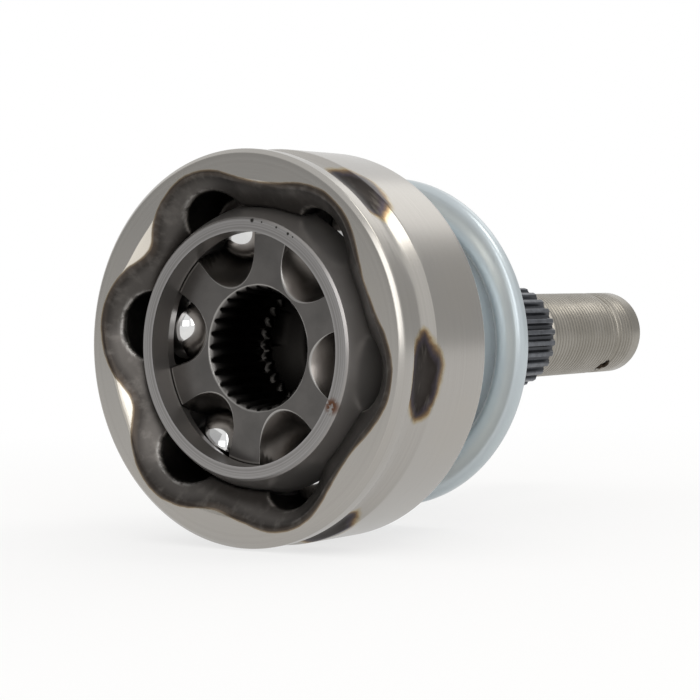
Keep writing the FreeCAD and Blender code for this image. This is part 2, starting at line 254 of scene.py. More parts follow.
# The camera: angles in degrees, the rest in millimetres.
CAMERA_AZIMUTH = 36.12
CAMERA_ELEVATION = 1.339
CAMERA_ROLL = -1.094
CAMERA_AIM = (0.0, 23.075, -1.393)
CAMERA_DISTANCE = 464.94
CAMERA_LENS = 103.07
CAMERA_SENSOR = 36.0


# ---------------------------------------------------------------- outlines and skins

def unit(vectors):
    return vectors / np.maximum(np.linalg.norm(vectors, axis=-1, keepdims=True), 1e-12)


def curve(start, corner, end, t):
    """A quadratic curve from start to end, drawn towards the corner, as t goes from 0 to 1."""
    return (1 - t) ** 2 * start + 2 * t * (1 - t) * corner + t ** 2 * end


def rounded(corners, steps=4):
    """An outline through (radius, place, rounding) corners. Each inner corner becomes a quadratic
    curve from a point that far before the corner to a point that far after it."""
    corner = np.array([c[:2] for c in corners], float)
    size = np.array([c[2] for c in corners], float)[:, None]
    before = corner[1:-1] + unit(corner[:-2] - corner[1:-1]) * size[1:-1]
    after = corner[1:-1] + unit(corner[2:] - corner[1:-1]) * size[1:-1]
    t = np.linspace(0.0, 1.0, steps + 1)[None, :, None]
    bent = curve(before[:, None], corner[1:-1, None], after[:, None], t)
    return np.vstack([corner[:1], bent.reshape(-1, 2), corner[-1:]])


def finer(outline, step):
    """The same outline with points added along each run, so that none is longer than the step."""
    run = np.diff(outline, axis=0)
    count = np.maximum(1, np.ceil(np.linalg.norm(run, axis=1) / step)).astype(int)
    share = (np.arange(count.sum()) - np.repeat(np.cumsum(count) - count, count)) / np.repeat(count, count)
    added = np.repeat(outline[:-1], count, axis=0) + np.repeat(run, count, axis=0) * share[:, None]
    return np.vstack([added, outline[-1:]])


def angles(columns):
    return np.linspace(0.0, 2.0 * math.pi, columns, endpoint=False)


def round_axis(radius, place, turn):
    """Points at a radius and place, turned about the joint's axis from +X towards +Z."""
    radius, place, turn = np.broadcast_arrays(radius, place, turn)
    return np.stack([radius * np.cos(turn), place, radius * np.sin(turn)], axis=-1)


def turned(outline, turn):
    """Points of an outline of (radius, place) pairs, turned about the joint's axis."""
    return round_axis(outline[:, :1], outline[:, 1:], turn)


def on_rows(points, first, last, values):
    """A mark that has these values on some rows of points and is 0 on the others."""
    mark = np.zeros(points.shape[:2])
    mark[first:last] = values
    return mark


def grid_faces(index, ring):
    """Faces between neighbours in a grid of point numbers. Columns meet, and a ring's rows meet too.
    Otherwise the end rows are single points, with triangles round them."""
    beside = np.roll(index, -1, axis=1)
    if ring:
        corners = (index, np.roll(index, -1, axis=0), np.roll(beside, -1, axis=0), beside)
        return np.stack(corners, axis=-1).reshape(-1, 4).tolist()
    quads = np.stack([index[:-1], index[1:], beside[1:], beside[:-1]], axis=-1)
    first, last = quads[0][:, :3], quads[-1][:, [0, 1, 3]]
    return first.tolist() + quads[1:-1].reshape(-1, 4).tolist() + last.tolist()


def stand(name, data):
    """A new object in the scene that holds this mesh, light or camera."""
    made = bpy.data.objects.new(name, data)
    bpy.context.scene.collection.objects.link(made)
    return made


def skin(name, points, material, body, ring=False, marks=None, stands_for=()):
    """A closed piece over a grid of points in millimetres. Columns run round the axis and meet.
    Rows run along the outline; a ring's rows meet too, and otherwise the end rows are single points."""
    rows, columns = points.shape[:2]
    index = np.arange(rows * columns).reshape(rows, columns)
    if not ring:
        index[0] = index[0, 0]
        index[-1] = index[-1, 0]
    used = np.unique(index)
    renumbered = np.searchsorted(used, index)
    mesh = bpy.data.meshes.new(name)
    mesh.from_pydata((points.reshape(-1, 3)[used] * MM).tolist(), [], grid_faces(renumbered, ring))
    mesh.polygons.foreach_set("use_smooth", np.ones(len(mesh.polygons), bool))
    for mark, values in (marks or {}).items():
        layer = mesh.attributes.new(mark, "FLOAT", "POINT")
        flat = np.broadcast_to(values, (rows, columns)).reshape(-1)[used]
        layer.data.foreach_set("value", flat.astype(np.float32))
    mesh.update()
    mesh.materials.append(material)
    piece = stand(name, mesh)
    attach(piece, body)
    if stands_for:
        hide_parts(*stands_for)
    return piece


# ---------------------------------------------------------------- node building

class Nodes:
    """A node tree, with short ways to add what the finishes and the studio need."""

    def __init__(self, tree):
        self.tree = tree

    def add(self, kind, **settings):
        made = self.tree.nodes.new(kind)
        for key, value in settings.items():
            setattr(made, key, value)
        return made

    def feed(self, socket, value):
        if isinstance(value, bpy.types.NodeSocket):
            self.tree.links.new(value, socket)
        else:
            socket.default_value = value

    def feed_colour(self, socket, value):
        self.feed(socket, value if isinstance(value, bpy.types.NodeSocket) else (*value, 1.0))

    def maths(self, operation, first, second, clamp=False):
        made = self.add("ShaderNodeMath", operation=operation, use_clamp=clamp)
        for socket, value in zip(made.inputs, (first, second)):
            self.feed(socket, value)
        return made.outputs[0]

    def between(self, value, low, high, to_low=0.0, to_high=1.0):
        """Eased from to_low to to_high as the value goes from low to high."""
        made = self.add("ShaderNodeMapRange", interpolation_type="SMOOTHSTEP")
        for socket, number in zip(made.inputs, (value, low, high, to_low, to_high)):
            self.feed(socket, number)
        return made.outputs[0]

    def place(self):
        return self.add("ShaderNodeTexCoord").outputs["Object"]

    def ramp(self, value, stops):
        """Colours at places from 0 to 1."""
        made = self.add("ShaderNodeValToRGB")
        self.feed(made.inputs[0], value)
        elements = made.color_ramp.elements
        while len(elements) < len(stops):
            elements.new(0.5)
        for element, (at, colour) in zip(elements, stops):
            element.position = at
            element.color = (*colour, 1.0)
        return made.outputs["Color"]

    def blend(self, share, first, second):
        made = self.add("ShaderNodeMix", data_type="RGBA", blend_type="MIX", clamp_factor=True)
        self.feed(made.inputs[0], share)
        self.feed_colour(made.inputs[6], first)
        self.feed_colour(made.inputs[7], second)
        return made.outputs[2]

    def length(self, vector):
        made = self.add("ShaderNodeVectorMath", operation="LENGTH")
        self.feed(made.inputs[0], vector)
        return made.outputs["Value"]

    def apart(self, vector):
        """A vector's three numbers."""
        made = self.add("ShaderNodeSeparateXYZ")
        self.feed(made.inputs[0], vector)
        return made.outputs

    def white_rays(self):
        """1 for the rays that see the background as white: the camera's, glossy and transmitted ones."""
        path = self.add("ShaderNodeLightPath").outputs
        seen = self.maths("ADD", path["Is Camera Ray"], path["Is Glossy Ray"])
        return self.maths("ADD", seen, path["Is Transmission Ray"], clamp=True)


class Shader(Nodes):
    """A material's node tree, with what these finishes are made of."""

    def __init__(self, name, metallic=1.0):
        self.material = bpy.data.materials.new(name)
        self.material.use_nodes = True
        super().__init__(self.material.node_tree)
        self.surface = self.tree.nodes["Principled BSDF"]
        self.set("Metallic", metallic)

    def set(self, socket, value):
        self.surface.inputs[socket].default_value = value

    def stretched(self, scale):
        made = self.add("ShaderNodeMapping")
        self.feed(made.inputs["Vector"], self.place())
        made.inputs["Scale"].default_value = scale
        return made.outputs[0]

    def mottle(self, scale, detail=4.0, vector=None):
        """Cloudy noise from 0 to 1. The scale is patches per metre."""
        made = self.add("ShaderNodeTexNoise")
        self.feed(made.inputs["Vector"], vector or self.place())
        made.inputs["Scale"].default_value = scale
        made.inputs["Detail"].default_value = detail
        made.inputs["Roughness"].default_value = 0.55
        return made.outputs["Fac"]

    def outline_run(self):
        """Distance along a turned outline: radius plus place, in metres."""
        parts = self.apart(self.place())
        flat = self.add("ShaderNodeCombineXYZ")
        self.feed(flat.inputs["X"], parts["X"])
        self.feed(flat.inputs["Z"], parts["Z"])
        return self.maths("ADD", self.length(flat.outputs[0]), parts["Y"])

    def rings(self, per_metre, detail):
        """Turning marks: noise that changes only along the outline."""
        made = self.add("ShaderNodeTexNoise", noise_dimensions="1D")
        self.feed(made.inputs["W"], self.outline_run())
        made.inputs["Scale"].default_value = per_metre
        made.inputs["Detail"].default_value = detail
        return made.outputs["Fac"]

    def mark(self, name):
        return self.add("ShaderNodeAttribute", attribute_name=name).outputs["Fac"]

    def near(self, point, inner, outer):
        """1 within the inner distance of a point, 0 beyond the outer one. All in millimetres."""
        gap = self.add("ShaderNodeVectorMath", operation="DISTANCE")
        self.feed(gap.inputs[0], self.place())
        gap.inputs[1].default_value = [value * MM for value in point]
        return self.between(gap.outputs["Value"], inner * MM, outer * MM, 1.0, 0.0)

    def uneven(self, value, around, spread):
        """A number that strays from its middle by up to half the spread, with 0 to 1 noise."""
        return self.between(value, 0.3, 0.7, around - spread / 2, around + spread / 2)

    def bump(self, height, depth, strength):
        made = self.add("ShaderNodeBump")
        self.feed(made.inputs["Height"], height)
        made.inputs["Distance"].default_value = depth
        made.inputs["Strength"].default_value = strength
        self.feed(self.surface.inputs["Normal"], made.outputs[0])

    def finish(self, colour, roughness):
        self.feed_colour(self.surface.inputs["Base Color"], colour)
        self.feed(self.surface.inputs["Roughness"], roughness)
        return self.material


# ---------------------------------------------------------------- finishes

def turned_steel(s, cloud):
    """Warm grey steel with fine turning lines, and a painted highlight on one side of the mouth's chamfer.
    """
    rings = s.rings(1500.0, 2.0)
    steel = s.blend(s.between(rings, 0.3, 0.7), *TURNED_STEEL)
    steel = s.blend(s.between(cloud, 0.35, 0.75, 0.0, 0.4), steel, WARM_STEEL)
    # Painted highlight on one side of the mouth's chamfer.
    return s.blend(s.mark("chamfer"), steel, CHAMFER_PAINTED_HIGHLIGHT)


def temper_spots(s, steel, stray):
    """Steel with ragged spots of temper colour, straw at the edge and black inside. Also their strength."""
    spot = s.maths("ADD", s.mark("spot"), s.maths("MULTIPLY", stray, SPOT_RAGGEDNESS))
    streaks = s.mottle(1.0, 3.0, vector=s.stretched((160.0, 700.0, 160.0)))
    temper = s.blend(s.between(streaks, 0.52, 0.72, 0.0, 0.6), s.ramp(spot, TEMPER_COLOURS), TEMPER_STREAK)
    return s.blend(s.between(spot, -0.22, 0.08), steel, temper), spot


def mouth_scale(s, steel, stray):
    """Steel with dark scale round and inside the mouth, paler where it flowed. Also its strength."""
    scorch = s.maths("ADD", s.mark("scorch"), s.maths("MULTIPLY", stray, SCORCH_RAGGEDNESS))
    flow = s.mottle(1.0, 4.0, vector=s.stretched((420.0, 90.0, 420.0)))
    scale = s.blend(s.between(flow, 0.45, 0.75, 0.0, 0.5), s.ramp(scorch, SCALE_COLOURS), SCALE_FLOW)
    return s.blend(s.between(scorch, -0.05, 0.06), steel, scale), scorch


def bell_finish():
    """Ground and turned steel, with temper colours where the tracks were hardened, dark scale in the
    mouth, bare rubbed edges where the tracks open, painted shade deep inside, and a painted
    highlight on one side of the mouth's chamfer."""
    s = Shader("bell_steel")
    cloud = s.mottle(45.0, 3.0)
    blotch = s.mottle(170.0, 5.0)
    stray = s.maths("MULTIPLY", s.maths("SUBTRACT", blotch, 0.5), 0.32)
    colour, spot = temper_spots(s, turned_steel(s, cloud), stray)
    colour, scorch = mouth_scale(s, colour, stray)
    worn = s.maths("MULTIPLY", s.mark("worn"), s.between(s.mottle(500.0, 3.0), 0.42, 0.58, 0.25, 1.0))
    colour = s.blend(worn, colour, RUBBED_STEEL)
    # Painted shade that darkens the bell's inside towards its floor.
    colour = s.blend(s.mark("depth_shade"), colour, CAVITY_PAINTED_SHADE)
    dark = s.between(s.maths("MAXIMUM", spot, scorch), 0.02, 0.25)
    rough = s.maths("ADD", s.uneven(cloud, 0.25, 0.03), s.maths("MULTIPLY", dark, 0.06))
    s.bump(s.maths("MULTIPLY", blotch, dark), 0.00003, 0.35)
    return s.finish(colour, rough)


def spline_finish():
    """Phosphate-black spline teeth with lighter crests."""
    s = Shader("spline_steel")
    grain = s.mottle(1.0, 4.0, vector=s.stretched((900.0, 120.0, 900.0)))
    colour = s.blend(s.between(grain, 0.3, 0.7), *PHOSPHATE_BLACK)
    # The crests are made lighter, in mottled patches.
    rubbed = s.maths("MULTIPLY", s.mark("crest"), s.between(s.mottle(500.0), 0.3, 0.7, 0.35, 0.8))
    colour = s.blend(rubbed, colour, LIGHTER_CREST)
    s.bump(grain, 0.00003, 0.5)
    return s.finish(colour, s.uneven(grain, 0.38, 0.12))


def thread_finish():
    """Plain rolled thread, a little warm with old oil, with painted shade in its valleys and pin hole."""
    s = Shader("thread_steel")
    colour = s.blend(s.between(s.mottle(110.0, 3.0), 0.35, 0.65), *OILED_STEEL)
    # Painted shade in the thread's valleys and over the split pin hole.
    colour = s.blend(s.maths("MULTIPLY", s.mark("turns"), 0.8), colour, THREAD_VALLEY_PAINTED_SHADE)
    colour = s.blend(s.mark("hole"), colour, PIN_HOLE_PAINTED_SHADE)
    return s.finish(colour, s.uneven(s.mottle(300.0), 0.32, 0.06))


def shield_finish():
    """Zinc plate: bluish, softly clouded, with painted shade on its collar and lip, a painted highlight
    along its bend, and one dark fleck."""
    s = Shader("zinc_plate", metallic=0.55)
    colour = s.blend(s.between(s.mottle(60.0, 3.0), 0.3, 0.7), *ZINC)
    # Painted shade on the collar and lip, and a painted highlight along the bend.
    colour = s.blend(s.mark("collar"), colour, ZINC_COLLAR_PAINTED_SHADE)
    colour = s.blend(s.maths("MULTIPLY", s.mark("lip"), 0.65), colour, ZINC_LIP_PAINTED_SHADE)
    colour = s.blend(s.mark("bend"), colour, ZINC_BEND_PAINTED_HIGHLIGHT)
    colour = s.blend(s.near(SHIELD_FLECK, 0.3, 0.6), colour, FLECK_DARK)
    return s.finish(colour, s.uneven(s.mottle(200.0), 0.30, 0.03))


def cage_finish():
    """Ground cage with concentric lines, dark pits towards its top and one rust mark."""
    s = Shader("cage_steel", metallic=0.8)
    ring = s.blend(s.between(s.rings(1800.0, 2.0), 0.3, 0.7), *CAGE_RING)
    front, behind = CAGE_FRONT * MM, (CAGE_FRONT + CAGE_FRONT_FADE) * MM
    colour = s.blend(s.between(s.apart(s.place())["Y"], front, behind, 1.0, 0.0), CAGE_SPHERE, ring)
    for turn, size in CAGE_PITS:
        around = math.radians(turn)
        pit = (CAGE_PIT_RADIUS * math.cos(around), CAGE_FRONT, CAGE_PIT_RADIUS * math.sin(around))
        colour = s.blend(s.near(pit, size * 0.6, size * 1.4), colour, PIT_DARK)
    rust = s.maths("MULTIPLY", s.near(CAGE_RUST, 0.8, 2.4), s.between(s.mottle(700.0), 0.38, 0.5))
    colour = s.blend(rust, colour, RUST_BROWN)
    return s.finish(colour, s.uneven(s.mottle(250.0), 0.31, 0.05))


def race_finish():
    """Dark hardened race, satin on its face, greyer in its tracks, with a painted highlight along its
    edges and painted shade in the bore."""
    s = Shader("race_steel")
    colour = s.blend(s.between(s.mottle(120.0, 5.0), 0.3, 0.7), *HARDENED_STEEL)
    colour = s.blend(s.mark("track"), colour, GROUND_TRACK)
    # Painted highlight along the edges and painted shade in the bore.
    colour = s.blend(s.mark("edge"), colour, EDGE_PAINTED_HIGHLIGHT)
    colour = s.blend(s.mark("bore"), colour, BORE_PAINTED_SHADE)
    s.bump(s.mottle(1800.0, 3.0), 0.000012, 0.4)
    return s.finish(colour, s.uneven(s.mottle(300.0), 0.33, 0.08))


def ball_finish():
    """Mirror-polished bearing ball with the faintest haze."""
    s = Shader("ball_steel")
    colour = s.blend(s.between(s.mottle(200.0, 3.0), 0.3, 0.7), *POLISHED_STEEL)
    return s.finish(colour, s.uneven(s.mottle(500.0), 0.06, 0.04))


# ---------------------------------------------------------------- the ball tracks

def smooth_max(first, second, width):
    """The greater of two, with the crease between them rounded over this width."""
    near = np.maximum(width - np.abs(first - second), 0.0) / width
    return np.maximum(first, second) + near * near * width * 0.25


def from_track(turn):
    """Angle to the nearest track's middle."""
    pitch = 2.0 * math.pi / TRACK_COUNT
    return (turn - TRACK_PHASE + pitch / 2) % pitch - pitch / 2


def tube_wall(height, swing, section, side):
    """How far from the axis a ball track's wall lies. The track is a tube bent round a circle whose
    centre is on the axis, and height is counted along the axis from there. Side 1 is the tube's far
    wall and -1 its near one. Also whether the tube is as wide as this swing from its middle."""
    across, along = np.abs(np.sin(swing)), np.cos(swing)
    reach = np.full(np.broadcast(height, swing).shape, TRACK_RADIUS + side * section)
    for _ in range(SOLVING_ROUNDS):
        bulge = np.sqrt(np.maximum(section ** 2 - (reach * across) ** 2, 0.0))
        wall = np.sqrt(np.maximum((TRACK_RADIUS + side * bulge) ** 2 - height ** 2, 0.0))
        reach = 0.5 * reach + 0.5 * wall / along
    return reach, reach * across < section


# ---------------------------------------------------------------- the bell

def outer_track_reach(place, swing):
    """Radius of the far wall of the bell's tracks, which are bent round a centre TRACK_OFFSET before
    the joint's, and 0 where there is none."""
    height = place + TRACK_OFFSET
    reach, within = tube_wall(height, swing, OUTER_SECTION, 1)
    return np.where(within & (np.arctan2(height, reach * np.cos(swing)) < TRACK_REAR_ANGLE), reach, 0.0)


def mouth_wave(swing):
    """Radius of the mouth's six-lobed edge: a cosine wave over the tracks that never comes inside the
    mouth's turned chamfer."""
    wave = MOUTH_WAVE + MOUTH_WAVE_RISE * np.cos(TRACK_COUNT * swing)
    return smooth_max(wave, np.full_like(wave, MOUTH_CHAMFER), MOUTH_WAVE_BLEND)


def cavity_reach(place, turn):
    """Radius of the bell's inside: the greatest of its sphere, its tracks and the wavy funnel that
    opens towards the mouth. Also how far apart funnel and track are, to find the edge between them."""
    swing = from_track(turn)
    sphere = np.sqrt(np.maximum(BELL_SPHERE ** 2 - place ** 2, 0.0))
    funnel = mouth_wave(swing) - MOUTH_SLOPE * (place - MOUTH)
    track = outer_track_reach(place, swing)
    inside = smooth_max(smooth_max(sphere, track, TRACK_BLEND), funnel, FUNNEL_BLEND)
    return inside, np.abs(track - funnel)


def cavity_places():
    """Places of the rows along the bell's inside: coarse in its depth and fine towards the mouth."""
    deepest, shallow, fine = 27.6, -6.0, 0.5
    coarse_rows = np.linspace(deepest, shallow, 26)
    fine_rows = np.arange(shallow - fine, MOUTH + MOUTH_EDGE, -fine)
    return np.concatenate([coarse_rows, fine_rows, [MOUTH + MOUTH_EDGE]])[:, None]


def bell_outside():
    """Outline of the bell's outside: the face's outer edge, rim, boot groove, ramp, body, rounded back
    and collar, and in to the axis."""
    outline = rounded([
        (FACE_RADIUS, MOUTH, 0.0),
        (RIM_RADIUS - RIM_BEVEL, MOUTH, 0.25),
        (RIM_RADIUS, MOUTH + RIM_BEVEL, 0.25),
        (RIM_RADIUS, GROOVE_START, 0.25),
        (GROOVE_RADIUS, GROOVE_START, 0.5),
        (GROOVE_RADIUS, RAMP_START, 1.3),
        (BODY_RADIUS, RAMP_END, 0.35),
        (BODY_RADIUS, BODY_REAR - BODY_BEVEL, 0.3),
        (BODY_RADIUS - BODY_BEVEL, BODY_REAR, 0.3),
        (BACK_RADIUS, BODY_REAR, 0.3),
        *BACK_CORNERS,
        (COLLAR_RADIUS, COLLAR_START, 0.8),
        (COLLAR_RADIUS, COLLAR_END - COLLAR_BEVEL, 0.2),
        (COLLAR_RADIUS - COLLAR_BEVEL, COLLAR_END, 0.2),
        (0.0, COLLAR_END, 0.0)])
    return np.vstack([finer(outline[:-1], 1.4), outline[-1:]])


def bell(finish):
    """One closed skin: along the bell's inside from its floor to the mouth, over the face and rim,
    and back along the outside to the collar's end."""
    turn = angles(BELL_COLUMNS)[None, :]
    floor = finer(np.array([(0.0, CAVITY_DEPTH), (CAVITY_FLOOR, CAVITY_DEPTH), CAVITY_CORNER]), 5.0)
    place = cavity_places()
    inside, crease = cavity_reach(place, turn)
    corner, _ = cavity_reach(np.full((1, 1), MOUTH), turn)
    t = np.linspace(0.0, 1.0, 6)[1:, None]
    edge = curve(inside[-1:], corner, corner + MOUTH_EDGE, t)
    face_share = np.array([0.04, 0.12, 0.3, 0.5, 0.7, 0.88])[:, None]
    face = edge[-1:] * (1 - face_share) + FACE_RADIUS * face_share
    rows = [
        turned(floor, turn),
        round_axis(inside, place, turn),
        round_axis(edge, curve(MOUTH + MOUTH_EDGE, MOUTH, MOUTH, t), turn),
        round_axis(face, MOUTH, turn),
        turned(bell_outside(), turn)]
    points = np.concatenate(rows)
    floor_end, inside_end, edge_end, face_end, _ = np.cumsum([len(part) for part in rows])
    near_mouth = points[..., 1] < MOUTH + CHAMFER_HIGHLIGHT_DEPTH
    rubbed = np.exp(-(crease / WORN_WIDTH) ** 2) * (place < WORN_BEFORE)
    painted_shade = np.clip((points[:inside_end, :, 1] - PAINTED_SHADE_FROM) / PAINTED_SHADE_FADE, 0.0, 1.0)
    marks = {
        # The chamfer mark is a painted highlight on one side of the mouth's chamfer.
        "chamfer": on_rows(points, floor_end, edge_end - 1, 1.0) * near_mouth * painted_highlight_side(turn),
        "spot": hardened_spots(points, turn),
        "scorch": mouth_scorch(points, turn),
        "worn": on_rows(points, floor_end, inside_end, rubbed),
        # Painted shade that darkens the bell's inside towards its floor.
        "depth_shade": on_rows(points, 0, inside_end, painted_shade)}
    marks["scorch"][face_end:] = -1.0
    return skin("bell", points, finish, "housing", marks=marks, stands_for=["outer_race"])


def hardened_spots(points, turn):
    """Temper colour over each track on the outside: 1 in the middle of a pointed lens that lies across
    the boot groove, falling to 0 along its edge. The lens is two parabolas back to back."""
    radius = np.hypot(points[..., 0], points[..., 2])
    swing = np.degrees(from_track(turn - SPOT_LEAN)) / SPOT_HALF_ANGLE
    along = np.abs(points[..., 1] - SPOT_PLACE) / SPOT_HALF_WIDTH
    outside = (radius > GROOVE_RADIUS - 0.6) & (points[..., 1] > GROOVE_START - 0.3)
    return np.where(outside, 1.0 - swing ** 2 - along, -1.0)


def painted_highlight_side(turn):
    """1 on the side of the mouth where the turned chamfer gets a painted highlight, fading to 0
    across it.
    """
    return np.clip(-CHAMFER_HIGHLIGHT_SPREAD * np.cos(turn), 0.0, 1.0)


def mouth_scorch(points, turn):
    """Millimetres inside the edge of the scale round the mouth, as a share of SCORCH_FADE; less than
    nothing outside it. The edge follows the mouth's wave and draws back in a bell curve between the
    tracks, furthest on the side where the chamfer gets its painted highlight, so that the chamfer on
    the other side stays dark as painted shade."""
    radius = np.hypot(points[..., 0], points[..., 2])
    swing = from_track(turn)
    from_middle = math.pi / TRACK_COUNT - np.abs(swing)
    most = SCORCH_DRAW * (0.4 + 0.6 * painted_highlight_side(turn))
    drawn_back = most * np.exp(-(from_middle / SCORCH_DRAW_WIDTH) ** 2)
    edge = mouth_wave(swing) + SCORCH_REACH - drawn_back + SCORCH_LEAN * np.cos(turn - SCORCH_LEAN_ANGLE)
    return np.clip(edge - radius, -2.0, SCORCH_FADE) / SCORCH_FADE


# ---------------------------------------------------------------- the inner race

def race_reach(place, turn):
    """Radius of the race's outside: its sphere, cut in by the near wall of each ball track, which is
    bent round a centre TRACK_OFFSET behind the joint's."""
    reach, within = tube_wall(place - TRACK_OFFSET, from_track(turn), INNER_SECTION, -1)
    sphere = np.sqrt(RACE_SPHERE ** 2 - place ** 2)
    track = np.where(within, reach, 2.0 * RACE_SPHERE)
    return -smooth_max(-sphere, -track, 0.5)


def race_bore(turn):
    """Radius and place of the rows along the race's bore, from its rear edge past the clip groove to
    its front chamfer. Each row is the toothed bore, or a plain circle where that is wider."""
    space, _ = spline_tooth(turn, BORE_TEETH, BORE_TIP, BORE_ROOT, 2.3, 0.4)
    place, plain = np.array([
        (RACE_HALF - 0.2, BORE_CHAMFER - 0.2),
        (RACE_HALF - 1.5, BORE_TIP),
        (CLIP_END, BORE_TIP),
        (CLIP_END, CLIP_GROOVE),
        (CLIP_START, CLIP_GROOVE),
        (CLIP_START, BORE_TIP),
        (0.0, BORE_TIP),
        (-5.0, BORE_TIP),
        (0.9 - RACE_HALF, BORE_ROOT - 0.6),
        (0.35 - RACE_HALF, BORE_CHAMFER - 0.35),
        (0.1 - RACE_HALF, BORE_CHAMFER - 0.1)]).T[:, :, None]
    return np.maximum(space, plain), place


def inner_race(finish):
    """One closed ring of skin: forwards along the splined bore, out over the front face, back over the
    sphere and its tracks, and in over the rear face. A quadratic curve breaks each outer edge."""
    turn = angles(BORE_TEETH * 24)[None, :]
    bore, bore_place = race_bore(turn)
    place = np.linspace(RACE_EDGE - RACE_HALF, RACE_HALF - RACE_EDGE, 40)[:, None]
    outside = race_reach(place, turn)
    front_corner = race_reach(np.full((1, 1), -RACE_HALF), turn)
    rear_corner = race_reach(np.full((1, 1), RACE_HALF), turn)
    share = np.array([0.0, 0.02, 0.2, 0.4, 0.6, 0.8, 0.97])[:, None]
    front_inner = BORE_CHAMFER + 0.05
    front_face = front_inner + (front_corner - RACE_EDGE - front_inner) * share
    rear_face = BORE_CHAMFER + (rear_corner - RACE_EDGE - BORE_CHAMFER) * share[::-1]
    t = np.linspace(0.0, 1.0, 5)[:, None]
    front_edge = curve(front_corner - RACE_EDGE, front_corner, outside[:1], t[:-1])
    rear_edge = curve(outside[-1:], rear_corner, rear_corner - RACE_EDGE, t[1:])
    points = np.concatenate([
        round_axis(bore, bore_place, turn),
        round_axis(front_face, -RACE_HALF, turn),
        round_axis(front_edge, -RACE_HALF + RACE_EDGE * t[:-1] ** 2, turn),
        round_axis(outside, place, turn),
        round_axis(rear_edge, RACE_HALF - RACE_EDGE * (1 - t[1:]) ** 2, turn),
        round_axis(rear_face, RACE_HALF, turn)])
    marks = race_marks(points, len(bore), len(front_face), len(front_edge))
    return skin("splined_race", points, finish, "race", ring=True, marks=marks, stands_for=["inner_race"])


def race_marks(points, bore_rows, face_rows, edge_rows):
    """Where the race's edges get a painted highlight, where its bore gets painted shade and where
    its tracks are.
    """
    edge = bore_rows + face_rows
    # This mark is a painted highlight along the race's rounded edges.
    rubbed = on_rows(points, edge, edge + edge_rows, 1.0)
    rubbed[bore_rows - 1:bore_rows + 1] = 0.7
    radius, along = np.hypot(points[..., 0], points[..., 2]), points[..., 1]
    below_sphere = np.hypot(radius, along) < RACE_SPHERE - 0.6
    between_faces = np.abs(along) < RACE_HALF - 0.25
    track = below_sphere & between_faces & (radius > BORE_CHAMFER + 1.0)
    return {"edge": rubbed, "bore": on_rows(points, 0, bore_rows - 3, 1.0), "track": track}


# ---------------------------------------------------------------- the stub

def spline_tooth(turn, count, crest, root, crest_space, root_space):
    """Radius round a spline: straight flanks from the space's floor up to each tooth's crest. Also how
    far up its flank each point is, from 0 to 1."""
    pitch = 2.0 * math.pi / count
    off = np.abs((turn - TRACK_PHASE + pitch / 2) % pitch - pitch / 2)
    foot, shoulder = root_space / 2 / root, crest_space / 2 / crest
    rise = np.clip((off - foot) / (shoulder - foot), 0.0, 1.0)
    return root + (crest - root) * rise, rise


def splined_stub(finish):
    """The journal and the splined length, from inside the collar to the relief before the thread."""
    turn = angles(SPLINE_TEETH * 22)[None, :]
    outline = rounded([
        (0.0, COLLAR_END - SUNK_IN_COLLAR, 0.0),
        (JOURNAL_RADIUS, COLLAR_END - SUNK_IN_COLLAR, 0.1),
        (JOURNAL_RADIUS, JOURNAL_END - JOURNAL_BEVEL, 0.2),
        (JOURNAL_RADIUS - JOURNAL_BEVEL, JOURNAL_END, 0.1),
        (SPLINE_CREST, JOURNAL_END, 0.1),
        (SPLINE_CREST, JOURNAL_END + 2.5, 0.3),
        (SPLINE_CREST, SPLINE_END - SPLINE_BEVEL, 0.15),
        (SPLINE_CREST - SPLINE_BEVEL, SPLINE_END, 0.15),
        (RELIEF_RADIUS, SPLINE_END, 0.3),
        (RELIEF_RADIUS, RELIEF_END + 2.0, 0.1),
        (0.0, RELIEF_END + 2.0, 0.0)])
    outline = np.vstack([outline[:1], finer(outline[1:-1], 2.5), outline[-1:]])
    radius, place = outline[:, :1], outline[:, 1:]
    tooth, _ = spline_tooth(turn, SPLINE_TEETH, SPLINE_CREST, SPLINE_ROOT, 2.0, 0.8)
    run_out = np.clip((place - JOURNAL_END - 0.1) / SPLINE_RUN_OUT, 0.0, 1.0)
    splined = (place > JOURNAL_END) & (place <= SPLINE_END + 0.05)
    toothed = np.minimum(radius, SPLINE_CREST - (SPLINE_CREST - tooth) * run_out)
    radius = np.where(splined, toothed, radius)
    marks = {"crest": np.where(splined & (radius > SPLINE_CREST - CREST_LIGHT_DEPTH), 1.0, 0.0)}
    return skin("splined_stub", round_axis(radius, place, turn), finish, "housing", marks=marks,
                stands_for=["outer_race"])


def thread_grid():
    """Places and turns of the thread's grid, closer together round both mouths of the split pin hole."""
    steps = int((STUB_END - RELIEF_END) / THREAD_PITCH * 8)
    along = np.linspace(RELIEF_END, STUB_END - 0.15, steps)
    place = np.unique(np.concatenate([along, PIN_PLACE + np.linspace(-2.8, 2.8, 45)]))
    close = np.linspace(-0.27, 0.27, 37)
    mouths = [(PIN_ANGLE + half_turn + close) % (2.0 * math.pi) for half_turn in (0.0, math.pi)]
    return place[:, None], np.unique(np.concatenate([angles(200), *mouths]))[None, :]


def stub_face():
    """Outline of the stub's end, from near its bevel in to the cone that a lathe's centre leaves."""
    return np.array([
        (THREAD_RADIUS - 1.4, STUB_END),
        (THREAD_RADIUS - 2.0, STUB_END),
        (LATHE_CENTRE + 0.2, STUB_END),
        (LATHE_CENTRE - 0.1, STUB_END - 0.1),
        (LATHE_CENTRE - 0.4, STUB_END - 0.4),
        (0.0, STUB_END - LATHE_CENTRE)])


